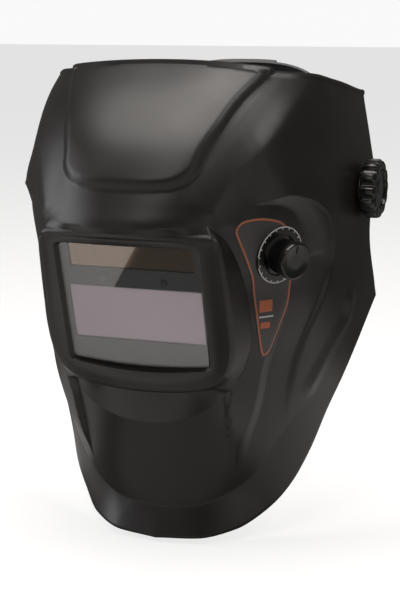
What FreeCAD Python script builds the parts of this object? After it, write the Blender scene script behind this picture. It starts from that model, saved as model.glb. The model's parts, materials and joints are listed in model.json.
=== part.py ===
import FreeCAD, Part
import math
import os

from FreeCAD import Placement, Rotation, Vector

# Auto-darkening welding helmet: a moulded shell with a filter cartridge, hung on a ratchet headgear.
# Millimetres. The origin is midway between the two pivots, +X is the wearer's left, the face looks
# along -Y and +Z is up.

# ---------------------------------------------------------------- driving dimensions
WALL = 3.0
SIDE_Y = 40.0               # every level section is widest at this depth
# z, depth of the front, half width, exponent of the section (2 is an ellipse)
SECTIONS = [
    (-240, -80, 72, 2.30), (-190, -95, 90, 2.30), (-145, -112, 102.5, 2.28), (-100, -132, 111.5, 2.02),
    (-60, -148, 115, 1.95), (-13, -157, 113.7, 2.16), (0, -152, 113, 2.30), (30, -134, 108, 2.65),
    (60, -105, 101, 3.10), (92, -59, 91, 3.50),
]
RIM_TOP = 83.0              # the rim in the middle of the forehead
RIM_CORNER = 62.0           # the rim's rear corners
CREASE = 0.86               # share of a column above the crease where the brim flares out
# place along the edge (0 is the chin, 1 the rear notch), angle round the section, height of the crease
CREASE_LINE = [
    (0.0, 0, -208), (0.15, 14, -206), (0.30, 29, -196), (0.38, 36.5, -187), (0.52, 49, -155),
    (0.64, 58.7, -137), (0.78, 68.3, -114), (0.90, 73, -90), (1.0, 86, -71),
]
# the same places on the brim's outer edge: x, y, z
BRIM_LINE = [
    (0.0, 0, -100, -229), (0.15, 30, -95, -227), (0.27, 52, -81, -223), (0.36, 66, -56, -212),
    (0.46, 76, -41, -195), (0.56, 86, -32, -174), (0.68, 96, -22, -148), (0.80, 104, -9, -125),
    (0.90, 110, 7, -102), (1.0, 114.5, 31, -78),
]

VISOR = Vector(0, -132.1, -66.4) # centre of the visor's front face
VISOR_TILT = 15.5                # the face leans back at the top
OPENING = (98, 43, -40, -44.3)   # width, top, lower corners and middle of the bowed lower edge
POCKET = (112, 92)
VISOR_WALL = 1.6
PLATE = 3.6                      # thickness of the visor's front face
COVER_LENS = (108, 90.6, 1.0)
CARTRIDGE = (110, 90)
CARTRIDGE_BACK = 15.6            # depth of its rear face behind the visor's face
WINDOW = (90, 37)
WINDOW_Y = -7.5                  # the window's centre, up the visor's face
GLASS = (94, 41)
SOLAR_Y = 32.5
POST_X = 35.0                    # posts that the cartridge's retainer is screwed to
POST_Y = 50.5
SENSOR_X = 21.0
SENSOR_Y = 16.2
CONTROL_Y = -35.0                # row of controls on the cartridge's rear face
CONTROL_X = 30.0

KNOB_AT = Vector(84, -94, -33)   # shade control, on the left cheek
KNOB_AXIS = Vector(0.86, -0.48, -0.16)
CABLE_R = 1.5

PIVOT_R = 4.0                    # pivot bolt
SLEEVE_R = 5.10
BOSS_R = 21.0
TILT_MAX = 75.0                  # degrees that the shell lifts from its lower stop
BOSS_X = (106.1, 112.6)
ARM_X = (99.5, 103.0)
REACH = 8.0                      # the pivots slide this far each way in the headgear's arms
GRIP_R = 19.8                    # tension knob

BAND_Y = 20.0                    # centre of the headband's oval
BAND_HALF = (78.5, 98.0)
BAND_T = 2.0
BAND_H = 25.0
BAND_SLOPE = -0.30               # the band drops towards the nape
BAND_END_Y = 70.0                # here the side bands end and the bendable tails begin
STRAP_FOOT = Vector(0, 35, -6)   # where the crown straps leave the band
STRAP_TOP = Vector(0, 92, 73)
STRAP_HALF = 79.0
STRAP_W = 22.0
STRAP_T = 1.5
RACK_Y = (112.0, 114.0)
RACK_H = 8.0
MOUTH_X = 38.0                   # half the adjuster's width, where the racks go in
NAPE_Z = -30.0
PINION_R = 6.0
PINION_TEETH = 12
TOOTH = (0.9, 1.2)               # height of a tooth above and below the pitch line
DIAL_R = 17.0

X = Vector(1, 0, 0)
Y = Vector(0, 1, 0)
Z = Vector(0, 0, 1)
parts = {}


# ---------------------------------------------------------------- helpers
def smooth(places, values):
    """A curve through the values that never overshoots them (monotone cubic)."""
    steps = [b - a for a, b in zip(places, places[1:])]
    rises = [(b - a) / h for a, b, h in zip(values, values[1:], steps)]
    slopes = [rises[0]]
    for i in range(1, len(rises)):
        if rises[i - 1] * rises[i] <= 0:
            slopes.append(0.0)
            continue
        near, far = 2 * steps[i] + steps[i - 1], steps[i] + 2 * steps[i - 1]
        slopes.append((near + far) / (near / rises[i - 1] + far / rises[i]))
    slopes.append(rises[-1])

    def value(place):
        place = min(max(place, places[0]), places[-1])
        i = max(k for k in range(len(steps)) if places[k] <= place)
        h = steps[i]
        u = (place - places[i]) / h
        ends = values[i] * (1 + 2 * u) * (1 - u) ** 2 + values[i + 1] * u * u * (3 - 2 * u)
        return ends + h * (slopes[i] * u * (1 - u) ** 2 - slopes[i + 1] * u * u * (1 - u))

    return value


def columns(table):
    """One smooth curve per column of a table, over its first column."""
    places = [row[0] for row in table]
    return [smooth(places, [row[k] for row in table]) for k in range(1, len(table[0]))]


def skin(grid):
    surface = Part.BSplineSurface()
    surface.interpolate(grid)
    return surface.toShape()


def sheet(outer, inner):
    """The closed solid between two grids of points that match each other."""
    faces = [skin(outer), skin(inner)]
    for a, b in zip(faces[0].Edges, faces[1].Edges):
        faces.append(Part.makeRuledSurface(a, b))
    closed = Part.Shell(faces)
    closed.sewShape()
    solid = Part.Solid(closed)
    if solid.Volume < 0:
        solid.reverse()
    return solid


def offset_grid(point, us, vs, distance):
    """A grid of a surface's points, moved along the surface's normal."""
    step = 1e-3
    grid = []
    for v in vs:
        row = []
        for u in us:
            along = point(min(u + step, us[-1]), v) - point(max(u - step, us[0]), v)
            across = point(u, min(v + step, vs[-1])) - point(u, max(v - step, vs[0]))
            row.append(point(u, v) + along.cross(across).normalize() * distance)
        grid.append(row)
    return grid


def span(start, stop, count):
    return [start + (stop - start) * i / (count - 1) for i in range(count)]


def block(x, y, z):
    """A box from three (low, high) pairs."""
    low = Vector(x[0], y[0], z[0])
    return Part.makeBox(x[1] - x[0], y[1] - y[0], z[1] - z[0], low)


def rod(radius, start, end):
    """A cylinder between two points."""
    return Part.makeCylinder(radius, (end - start).Length, start, end - start)


def tube(outer, inner, start, end):
    return rod(outer, start, end).cut(rod(inner, start, end))


def both_sides(shape):
    """The shape and its mirror image on the other side of the face."""
    return [shape, shape.mirror(Vector(), X)]


def polygon(points, depth):
    """A flat closed wire in the visor's own frame."""
    corners = [Vector(x, y, depth) for x, y in points]
    return Part.makePolygon(corners + corners[:1])


def prism(points, low, high):
    return Part.Face(polygon(points, low)).extrude(Vector(0, 0, high - low))


def rounded(width, height, radius, low, high, x=0.0, y=0.0):
    """A rectangular block with rounded corners, standing along Z."""
    size = Vector(width, height, high - low)
    box = Part.makeBox(*size, Vector(x - width / 2, y - height / 2, low))
    upright = [e for e in box.Edges if abs(e.tangentAt(e.FirstParameter).z) > 0.9]
    return box.makeFillet(radius, upright)


def fuse(shapes):
    return shapes[0].multiFuse(shapes[1:]).removeSplitter()


def in_visor(shape):
    """From the visor's own frame (X across, Y up the face, Z out of it) to the helmet's."""
    return placed(shape, Placement(VISOR, Rotation(X, 90 + VISOR_TILT)))


def on_knob(shape):
    """From a frame whose Z is the shade control's axis."""
    return placed(shape, Placement(KNOB_AT, Rotation(Z, KNOB_AXIS)))


def placed(shape, placement):
    moved = shape.copy()
    moved.Placement = placement.multiply(moved.Placement)
    return moved


# ---------------------------------------------------------------- shell surface
front, half_width, roundness = columns(SECTIONS)
crease_angle, crease_z = columns(CREASE_LINE)
brim_xyz = columns(BRIM_LINE)


def section_point(angle, z):
    """A point on the level section at z, by its angle from straight ahead."""
    power = 2 / roundness(z)
    turn = math.radians(min(abs(angle), 90.0))
    x = half_width(z) * math.sin(turn) ** power
    y = SIDE_Y - (SIDE_Y - front(z)) * max(math.cos(turn), 1e-9) ** power
    return Vector(math.copysign(x, angle), y, z)


def shell_point(t, s):
    """t runs from the right rear edge (-1) to the left one (1), s from the rim (0) to the brim (1)."""
    place = abs(t)
    rim_z = RIM_TOP - 13 * place ** 1.2 - (RIM_TOP - RIM_CORNER - 13) * place ** 10
    share = min(s / CREASE, 1.0)
    z = rim_z + (crease_z(place) - rim_z) * share
    angle = 90 * place + (crease_angle(place) - 90 * place) * share
    if share > 0.45:
        angle -= 4.5 * place ** 8 * math.sin(math.pi * (share - 0.45) / 0.55)
    here = section_point(math.copysign(angle, t), z)
    if s <= CREASE:
        return here
    edge = Vector(*(curve(place) for curve in brim_xyz))
    edge.x = math.copysign(edge.x, t)
    return here + (edge - here) * ((s - CREASE) / (1 - CREASE))


ACROSS = span(-1, 1, 37)
# Rows are closer together towards the brim's crease, so that the skin turns there without rippling.
DOWN = [CREASE * (1 - u * (0.48 + 0.52 * u)) for u in span(1, 0, 25)] + span(CREASE, 1, 5)[1:]


def shell_layer(depth):
    """A layer of the shell's wall, at a depth below its outer surface."""
    return offset_grid(shell_point, ACROSS, DOWN, depth)


def filled(grid):
    """The solid from a layer of the shell back to a plane behind the head."""
    back = [[Vector(p.x * 0.5, 90 + abs(p.x) * 0.05, p.z * 0.8) for p in row] for row in grid]
    return sheet(grid, back)


# ---------------------------------------------------------------- helmet shell
def visor_ring(low, high):
    outer = rounded(POCKET[0] + 2 * VISOR_WALL, POCKET[1] + 2 * VISOR_WALL, 3, low, high)
    return outer.cut(rounded(*POCKET, 2, low, high))


def visor_surround():
    """The raised face round the window, with cheeks that slope back to the shell."""
    face = [(58.2, 48.3), (58.8, -40.5), (50, -54.5), (32, -70.5)]
    root = [(64, 47), (69, -32.5), (64, -56.5), (42, -86.5)]
    face += [(-x, y) for x, y in reversed(face)]
    root += [(-x, y) for x, y in reversed(root)]
    cheeks = Part.makeLoft([polygon(face, 0), polygon(root, -26)], True, True)
    return in_visor(cheeks).cut(filled(shell_layer(WALL / 2)))


def opening():
    """The visor's opening, right through its front face; its lower edge is bowed."""
    half, top, corner, middle = OPENING[0] / 2, *OPENING[1:]
    upper = rounded(2 * half, top - corner + 8, 5, -10, 10, y=(top + corner - 8) / 2)
    arc = Part.Arc(Vector(-half, corner, 0), Vector(0, middle, 0), Vector(half, corner, 0)).toShape()
    corners = [(half, corner), (half, 60), (-half, 60), (-half, corner)]
    sides = Part.makePolygon([Vector(x, y, 0) for x, y in corners])
    bowed = Part.Face(Part.Wire([arc, *sides.Edges])).extrude(Z * 20)
    return upper.common(placed(bowed, Placement(Z * -10, Rotation())))


def retainer_posts(radius, low, high):
    spots = [(x, y) for x in (-POST_X, POST_X) for y in (-POST_Y, POST_Y)]
    return [rod(radius, Vector(x, y, low), Vector(x, y, high)) for x, y in spots]


def helmet_shell():
    recess = rounded(POCKET[0], POCKET[1] - 2, 2, 0, 45)
    shell = sheet(shell_layer(0.0), shell_layer(WALL))
    shell = shell.cut(in_visor(recess))
    shell = shell.cut(in_visor(rounded(*POCKET, 2, -45, 0)))
    walls = in_visor(visor_ring(0, 30)).common(filled(shell_layer(0.0)))
    plate = rounded(POCKET[0] + 2 * VISOR_WALL, POCKET[1] + 2 * VISOR_WALL, 3, -PLATE, 0)
    behind = in_visor(fuse([plate, visor_ring(-CARTRIDGE_BACK, -PLATE)]))
    posts = [in_visor(p) for p in retainer_posts(4.5, -CARTRIDGE_BACK, -5)]
    bosses = both_sides(rod(BOSS_R, X * BOSS_X[0], X * BOSS_X[1]))
    seat = on_knob(rod(19.5, Vector(0, 0, -5), Vector()))
    pegs = both_sides(block((103.3, BOSS_X[0] + 1), (3.1, 7), (12.5, 16.5)))
    shell = fuse([shell, walls, behind, visor_surround(), *posts, *bosses, *pegs, seat])
    shell = shell.cut(in_visor(opening()))
    shell = shell.cut(in_visor(rounded(*POCKET, 2, -45, -PLATE)))
    shell = shell.cut(in_visor(rounded(120, 101, 3, -45, -CARTRIDGE_BACK)))
    shell = shell.cut([in_visor(pin) for pin in retainer_posts(1.55, -CARTRIDGE_BACK - 1, -8)])
    shell = shell.cut(rod(SLEEVE_R + 0.05, X * -130, X * 130))
    shell = shell.cut(on_knob(rod(19.5, Vector(), Z * 12)))
    return shell.cut(on_knob(rod(3.6, Vector(0, 0, -12), Vector(0, 0, 8))))


parts["helmet_shell"] = helmet_shell()


# ---------------------------------------------------------------- filter cartridge
def cartridge():
    """The auto-darkening filter: two housing halves round the glass, cell, board and battery."""
    window = rounded(*WINDOW, 2, -20, 0, y=WINDOW_Y)
    lens_back = -PLATE - COVER_LENS[2]
    parts["front_cover_lens"] = rounded(*COVER_LENS[:2], 3, lens_back, -PLATE)

    shell = rounded(*CARTRIDGE, 3, -11, lens_back)
    shell = shell.cut(rounded(104, 84, 2, -6.6, 0))
    shell = shell.cut(rounded(106, 86, 2, -11, -7.8))
    shell = shell.cut(window)
    shell = shell.cut(rounded(84, 17, 1, -20, 0, y=SOLAR_Y))
    for x in (-SENSOR_X, SENSOR_X):
        shell = shell.cut(rod(2.6, Vector(x, SENSOR_Y, -9), Vector(x, SENSOR_Y, 0)))
    parts["filter_housing_front"] = shell

    shell = rounded(*CARTRIDGE, 3, -CARTRIDGE_BACK, -11)
    shell = shell.cut(rounded(106, 86, 2, -14, -11))
    shell = shell.cut(window)
    shell = shell.cut(rounded(100.2, 45.2, 2, -16, -14.6, y=WINDOW_Y))
    for x in (-CONTROL_X, CONTROL_X):
        shell = shell.cut(rod(2.07, Vector(x, CONTROL_Y, -16), Vector(x, CONTROL_Y, -12)))
    shell = shell.cut(rod(3.08, Vector(0, CONTROL_Y, -16), Vector(0, CONTROL_Y, -12)))
    shell = shell.cut(rod(CABLE_R + 0.1, Vector(46, 34, -16), Vector(46, 34, -12)))
    parts["filter_housing_back"] = shell

    parts["lcd_filter_glass"] = rounded(*GLASS, 1, -14, -7.8, y=WINDOW_Y)
    parts["solar_cell"] = rounded(88, 20, 0.5, -8.8, -7.8, y=SOLAR_Y)
    sensors = [
        rod(2.4, Vector(x, SENSOR_Y, -9), Vector(x, SENSOR_Y, -6.8)) for x in (-SENSOR_X, SENSOR_X)
    ]
    parts["arc_sensors"] = Part.Compound(sensors)
    board = rounded(104, 84, 2, -10.2, -9).cut(rounded(GLASS[0] + 1, GLASS[1] + 1, 1, -11, -8, y=WINDOW_Y))
    parts["filter_circuit_board"] = board
    parts["filter_battery"] = rod(10, Vector(-32, 30, -13.4), Vector(-32, 30, -10.2))
    parts["inner_cover_lens"] = rounded(100, 45, 2, -CARTRIDGE_BACK, -14.6, y=WINDOW_Y)

    frame = rounded(118, 98, 3, -18.1, -CARTRIDGE_BACK)
    lugs = retainer_posts(4.5, -18.1, -CARTRIDGE_BACK)
    frame = fuse([frame, *lugs]).cut(rounded(103, 84, 3, -19, -15))
    for pin in retainer_posts(1.6, -19, -15):
        frame = frame.cut(pin)
    parts["filter_retainer"] = frame
    shanks = retainer_posts(1.5, -18.1, -9)
    heads = retainer_posts(3, -20.1, -18.1)
    parts["retainer_screws"] = Part.Compound([fuse([a, b]) for a, b in zip(shanks, heads)])

    for name, x in (("sensitivity_knob", -CONTROL_X), ("delay_knob", CONTROL_X)):
        stem = rod(2, Vector(x, CONTROL_Y, -16), Vector(x, CONTROL_Y, -10.6))
        head = rod(5.5, Vector(x, CONTROL_Y, -20), Vector(x, CONTROL_Y, -15.9))
        slot = Part.makeBox(9, 1.4, 1.2, Vector(x - 4.5, CONTROL_Y - 0.7, -20))
        parts[name] = fuse([stem, head]).cut(slot)
    stem = rod(3, Vector(0, CONTROL_Y, -17.6), Vector(0, CONTROL_Y, -12.6))
    flange = rod(4.2, Vector(0, CONTROL_Y, -13.9), Vector(0, CONTROL_Y, -12.6))
    parts["test_button"] = fuse([stem, flange])


before = set(parts)
cartridge()
for name in set(parts) - before:
    parts[name] = in_visor(parts[name])


# ---------------------------------------------------------------- shade control on the cheek
def shade_control():
    parts["shade_scale_ring"] = tube(18.6, 12.8, Vector(), Z * 0.8)
    body = fuse([rod(8, Z * -13, Z * -5), rod(3.5, Z * -5, Z * 3.4)])
    parts["potentiometer"] = body.cut(rod(3.05, Z * -11, Z * 4))
    hexagon = [(6.4 * math.cos(k * math.pi / 3), 6.4 * math.sin(k * math.pi / 3)) for k in range(6)]
    parts["potentiometer_nut"] = prism(hexagon, 0, 2.2).cut(rod(3.5, Vector(), Z * 3))
    parts["potentiometer_shaft"] = rod(3, Z * -10.9, Z * 12)
    grip = Part.makeCone(12.2, 10.6, 13.2, Z * 1.2)
    cap = Part.makeCone(11.4, 10.4, 1.6, Z * 14.4)
    knob = fuse([grip, cap]).cut(rod(8, Z * 1.2, Z * 4)).cut(rod(3, Z * 1, Z * 12))
    for k in range(24):
        turn = 2 * math.pi * k / 24
        at = Vector(12.6 * math.cos(turn), 12.6 * math.sin(turn), 0)
        knob = knob.cut(rod(0.8, at, at + Z * 13))
    parts["shade_knob"] = knob


before = set(parts)
shade_control()
for name in set(parts) - before:
    parts[name] = on_knob(parts[name])


def control_cable():
    """The cord from the potentiometer to the cartridge, clipped along the inside of the cheek."""
    to_row = Placement(VISOR, Rotation(X, 90 + VISOR_TILT))
    outwards = Vector(*KNOB_AXIS).normalize()
    entry = to_row.multVec(Vector(46, 34, -13.9))
    behind = to_row.multVec(Vector(46, 34, -32))
    pot_end = KNOB_AT - outwards * 13
    pot_out = KNOB_AT - outwards * 24
    route = [entry, behind, pot_out, pot_end]
    return bent_tube(route, CABLE_R)


def bent_tube(route, radius):
    """A round tube along straight runs joined by arcs that touch both runs."""
    edges = []
    start = route[0]
    for before_it, corner, after_it in zip(route, route[1:], route[2:]):
        back = (before_it - corner).normalize()
        ahead = (after_it - corner).normalize()
        half = (math.pi - back.getAngle(ahead)) / 2
        run = min((before_it - corner).Length, (after_it - corner).Length)
        cut = 0.45 * run
        bend = cut / math.tan(half)
        enter = corner + back * cut
        leave = corner + ahead * cut
        middle_way = (back + ahead).normalize()
        centre = corner + middle_way * (bend / math.cos(half))
        middle = centre - middle_way * bend
        edges.append(Part.LineSegment(start, enter).toShape())
        edges.append(Part.Arc(enter, middle, leave).toShape())
        start = leave
    edges.append(Part.LineSegment(start, route[-1]).toShape())
    path = Part.Wire(edges)
    section = Part.Wire([Part.Circle(route[0], route[1] - route[0], radius).toShape()])
    return path.makePipeShell([section], True, False, 2)


parts["control_cable"] = control_cable()


def side_label():
    """A thin plate on the left cheek round the shade control, rounded above and pointed below."""
    outline = [
        (66, -15), (69, -9), (76, -7), (86, -11), (89.5, -19), (90, -28), (88, -46), (85, -66), (80, -82),
        (72, -97), (69.5, -94), (70, -70), (69, -45), (67, -26),
    ]
    curve = Part.BSplineCurve()
    curve.interpolate([Vector(x, -180, z) for x, z in outline], PeriodicFlag=True)
    punch = Part.Face(Part.Wire([curve.toShape()])).extrude(Y * 150)
    plate = sheet(shell_layer(-0.55), shell_layer(-0.05)).common(punch)
    return plate.cut(on_knob(rod(19.6, Z * -20, Z * 20)))


parts["side_label"] = side_label()


# ---------------------------------------------------------------- pivots and tension knobs
def one_side(name, shape):
    """Makes the left piece as modelled, and the right one as its mirror image."""
    parts[name + "_left"], parts[name + "_right"] = both_sides(shape)


def pivots():
    head = rod(9, X * 96, X * ARM_X[0])
    one_side("pivot_bolt", fuse([head, rod(PIVOT_R, X * 96, X * 122)]))
    one_side("pivot_sleeve", tube(SLEEVE_R, PIVOT_R, X * 106, X * 112.8))
    stop = rod(11.5, X * 103.1, X * 105)
    lugs = []
    for turn in (0, -(TILT_MAX + 43)):
        lug = block((103.1, 105), (-3, 3), (10, 17))
        lugs.append(placed(lug, Placement(Vector(), Rotation(X, turn))))
    one_side("tilt_stop_plate", fuse([stop, *lugs]).cut(rod(PIVOT_R, X * 100, X * 110)))
    inner = tube(11.5, PIVOT_R, X * 105, X * 106)
    outer = tube(14, PIVOT_R, X * 112.8, X * 113.8)
    one_side("friction_washers", Part.Compound([inner, outer]))

    grip = rod(GRIP_R, X * 113.9, X * 123.4)
    face = Part.makeCone(GRIP_R, GRIP_R - 1.6, 1.6, X * 123.4, X)
    grip = fuse([grip, face])
    for k in range(12):
        turn = 2 * math.pi * k / 12
        at = Vector(113, 21.0 * math.cos(turn), 21.0 * math.sin(turn))
        grip = grip.cut(rod(2.4, at, at + X * 13))
    grip = grip.cut(rod(13, X * 124.2, X * 126))
    insert = Part.makeCylinder(6, 8, X * 114.5, X)
    grip = grip.cut(insert).cut(rod(PIVOT_R + 0.6, X * 113, X * 122.6))
    one_side("tension_knob", grip)
    one_side("knob_insert", insert.cut(rod(PIVOT_R + 0.05, X * 113, X * 124)))


pivots()


# ---------------------------------------------------------------- headgear
def band_prism(grow, low=-90, high=90):
    """The inside of the headband's oval, grown by a distance, as an upright block."""
    wide, long = BAND_HALF[0] + grow, BAND_HALF[1] + grow
    oval = Part.Ellipse(Vector(0, BAND_Y + long, 0), Vector(wide, BAND_Y, 0), Vector(0, BAND_Y, 0))
    face = Part.Face(Part.Wire([oval.toShape()]))
    return placed(face.extrude(Z * (high - low)), Placement(Z * low, Rotation()))


def slanted(height):
    """A slab that follows the headband down towards the nape."""
    tilt = math.degrees(math.atan(BAND_SLOPE))
    slab = block((-150, 150), (-200, 200), (-height / 2, height / 2))
    return placed(slab, Placement(Vector(0, 10, 0), Rotation(X, tilt)))


def band_ring(outer, inner, height):
    return band_prism(outer).cut(band_prism(inner)).common(slanted(height))


def headband():
    ring = band_ring(0, -BAND_T, BAND_H)
    ring = ring.common(block((-100, 100), (-100, BAND_END_Y), (-100, 100)))
    for side in (-1, 1):
        for spot in rivet_spots():
            ring = ring.cut(rod(2.6, Vector(60 * side, *spot), Vector(100 * side, *spot)))
        foot = STRAP_FOOT
        ring = ring.cut(rod(2.6, Vector(60 * side, foot.y, foot.z), Vector(100 * side, foot.y, foot.z)))
    return ring


def rivet_spots():
    return [(-23.0, 0.0), (20.6, 0.0)]


def side_arm():
    """The arm that carries the pivot: a slotted plate on two stand-offs from the headband."""
    plate = placed(rounded(22, 56, 8, *ARM_X), Placement(Vector(), Rotation(Y, 90)))
    posts = [
        block((70, ARM_X[0]), (spot[0] - 3.2, spot[0] + 3.2), (-8, 8)).cut(band_prism(0))
        for spot in rivet_spots()
    ]
    slot = fuse([
        rod(PIVOT_R + 0.1, Vector(90, side * REACH, 0), Vector(110, side * REACH, 0)) for side in (-1, 1)
    ] + [block((90, 110), (-REACH, REACH), (-PIVOT_R - 0.1, PIVOT_R + 0.1))])
    arm = fuse([plate, *posts]).cut(slot)
    for spot in rivet_spots():
        arm = arm.cut(rod(2.6, Vector(60, *spot), Vector(86, *spot)))
    return arm


def arm_rivets():
    """Four rivets that hold the arms to the headband from the inside."""
    pins = []
    for y, z in rivet_spots():
        edge = BAND_HALF[0] * math.sqrt(1 - ((y - BAND_Y) / BAND_HALF[1]) ** 2) - BAND_T
        head = rod(4.5, Vector(edge - 3.4, y, z), Vector(edge - 2.0, y, z))
        pins += both_sides(fuse([head, rod(2.5, Vector(edge - 3, y, z), Vector(86, y, z))]))
    return Part.Compound(pins)


def sweatband():
    pad = band_ring(-BAND_T, -BAND_T - 5, BAND_H + 8)
    return pad.common(block((-100, 100), (-100, -28), (-100, 100)))


def strap_point(turn, across, lift):
    """A point on the crown strap's arch: its angle from the top, across its width, and outwards."""
    rise = STRAP_TOP - STRAP_FOOT
    up = Vector(*rise).normalize()
    sideways = X.cross(up)
    power = 2 / 2.85
    angle = math.radians(turn)
    wide, high = STRAP_HALF + lift, rise.Length + lift
    x = math.copysign(wide * abs(math.sin(angle)) ** power, turn)
    return STRAP_FOOT + X * x + up * (high * max(math.cos(angle), 1e-9) ** power) + sideways * across


def crown_strap(first, last, lift):
    turns = span(first, last, 31)
    widths = span(-STRAP_W / 2, STRAP_W / 2, 5)
    grids = [[[strap_point(a, w, level) for a in turns] for w in widths] for level in (lift, lift + STRAP_T)]
    return sheet(grids[1], grids[0])


def strap_foot(side, lift):
    """The straight end of a crown strap below the band's edge, where its stud sits."""
    up = Vector(*(STRAP_TOP - STRAP_FOOT)).normalize()
    sideways = X.cross(up)
    corners = []
    for along, across in ((1.5, -11), (1.5, 11), (-12, 8), (-12, -8)):
        corners.append(STRAP_FOOT + up * along + sideways * across + X * side * (STRAP_HALF + lift))
    face = Part.Face(Part.makePolygon(corners + corners[:1]))
    return face.extrude(X * side * STRAP_T)


def headgear():
    parts["headband"] = headband()
    one_side("side_arm", side_arm())
    parts["arm_rivets"] = arm_rivets()
    parts["sweatband"] = sweatband()
    left = fuse([crown_strap(-9, 90, 0.0), strap_foot(1, 0.0)])
    right = fuse([crown_strap(-90, 9, STRAP_T), strap_foot(-1, STRAP_T)])
    top = strap_point(0, 0, 0)
    up = Vector(*(STRAP_TOP - STRAP_FOOT)).normalize()
    peg = rod(2.5, top - up * 2, top + up * 5)
    snap = rod(5, top - up * 2.5, top - up * 0.0)
    button = rod(6, top + up * (2 * STRAP_T + 0.15), top + up * (2 * STRAP_T + 2))
    studs = []
    for side in (-1, 1):
        foot = Vector(0, STRAP_FOOT.y, STRAP_FOOT.z)
        studs.append(fuse([
            rod(2.5, foot + X * side * 74.5, foot + X * side * 84),
            rod(5.5, foot + X * side * (STRAP_HALF + 3.2), foot + X * side * (STRAP_HALF + 5)),
        ]))
    for strap_name, strap in (("crown_strap_left", left), ("crown_strap_right", right)):
        for pin in (*studs, peg):
            strap = strap.cut(pin)
        parts[strap_name] = strap
    parts["crown_strap_peg"] = fuse([peg, snap, button])
    parts["crown_strap_studs"] = Part.Compound(studs)


headgear()


# ---------------------------------------------------------------- rear adjuster
def tail_point(side, u, offset):
    """The bendable tail from the side band's end to the adjuster's mouth, offset across its thickness."""
    edge = (BAND_HALF[0] - 1) * math.sqrt(1 - ((BAND_END_Y - BAND_Y) / (BAND_HALF[1] - 1)) ** 2)
    rack_y = sum(RACK_Y) / 2
    line = [Vector(edge, BAND_END_Y + 0.4, 0), Vector(edge - 8, 92, 0), Vector(56, rack_y, 0),
            Vector(MOUTH_X, rack_y, 0)]
    weights = [(1 - u) ** 3, 3 * u * (1 - u) ** 2, 3 * u * u * (1 - u), u ** 3]
    point = sum((p * w for p, w in zip(line, weights)), Vector())
    ahead = sum((
        (b - a) * w for a, b, w in zip(line, line[1:], [(1 - u) ** 2, 2 * u * (1 - u), u * u])
    ), Vector()).normalize()
    point += Vector(ahead.y, -ahead.x, 0) * offset
    return Vector(side * point.x, point.y, 0)


def tail(side, level):
    """A tail is 10 high where it enters the adjuster and as high as the band where it leaves it."""
    grids = []
    for offset in (1.0, -1.0):
        grid = []
        for w in span(-1, 1, 3):
            row = []
            for u in span(0, 1, 17):
                point = tail_point(side, u, offset)
                ease = u * u * (3 - 2 * u)
                middle = BAND_SLOPE * (point.y - 10) * (1 - ease) + (NAPE_Z + level) * ease
                half = BAND_H / 2 * (1 - ease) + RACK_H / 2 * ease
                row.append(Vector(point.x, point.y, middle + w * half))
            grid.append(row)
        grids.append(grid)
    return sheet(grids[0], grids[1])


def rack(side, level):
    """The toothed end of a tail, which the pinion draws into the adjuster."""
    bar = block((-22, MOUTH_X), RACK_Y, (NAPE_Z + level - RACK_H / 2, NAPE_Z + level + RACK_H / 2))
    inwards = -math.copysign(1, level)
    face = NAPE_Z + level + inwards * RACK_H / 2
    floor = face - inwards * sum(TOOTH)
    pitch = 2 * math.pi * PINION_R / PINION_TEETH
    for k in range(-6, 9):
        x = k * pitch
        half_mouth, half_floor = pitch * 0.29, pitch * 0.2
        mouth = [(x - half_mouth, face), (x + half_mouth, face)]
        gap = mouth + [(x + half_floor, floor), (x - half_floor, floor)]
        wire = [Vector(a, RACK_Y[0] - 1, b) for a, b in gap]
        bar = bar.cut(Part.Face(Part.makePolygon(wire + wire[:1])).extrude(Y * 4))
    return bar if side > 0 else bar.mirror(Vector(), X)


def pinion():
    outline = []
    for k in range(PINION_TEETH):
        for share, radius in ((-0.29, PINION_R - TOOTH[1]), (-0.13, PINION_R + TOOTH[0]),
                              (0.13, PINION_R + TOOTH[0]), (0.29, PINION_R - TOOTH[1])):
            turn = math.pi / 2 + (k + share) * 2 * math.pi / PINION_TEETH
            outline.append(Vector(radius * math.cos(turn), 111.8, NAPE_Z + radius * math.sin(turn)))
    gear = Part.Face(Part.makePolygon(outline + outline[:1])).extrude(Y * 3)
    return fuse([gear, rod(4, Vector(0, 114.8, NAPE_Z), Vector(0, 124, NAPE_Z))])


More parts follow.
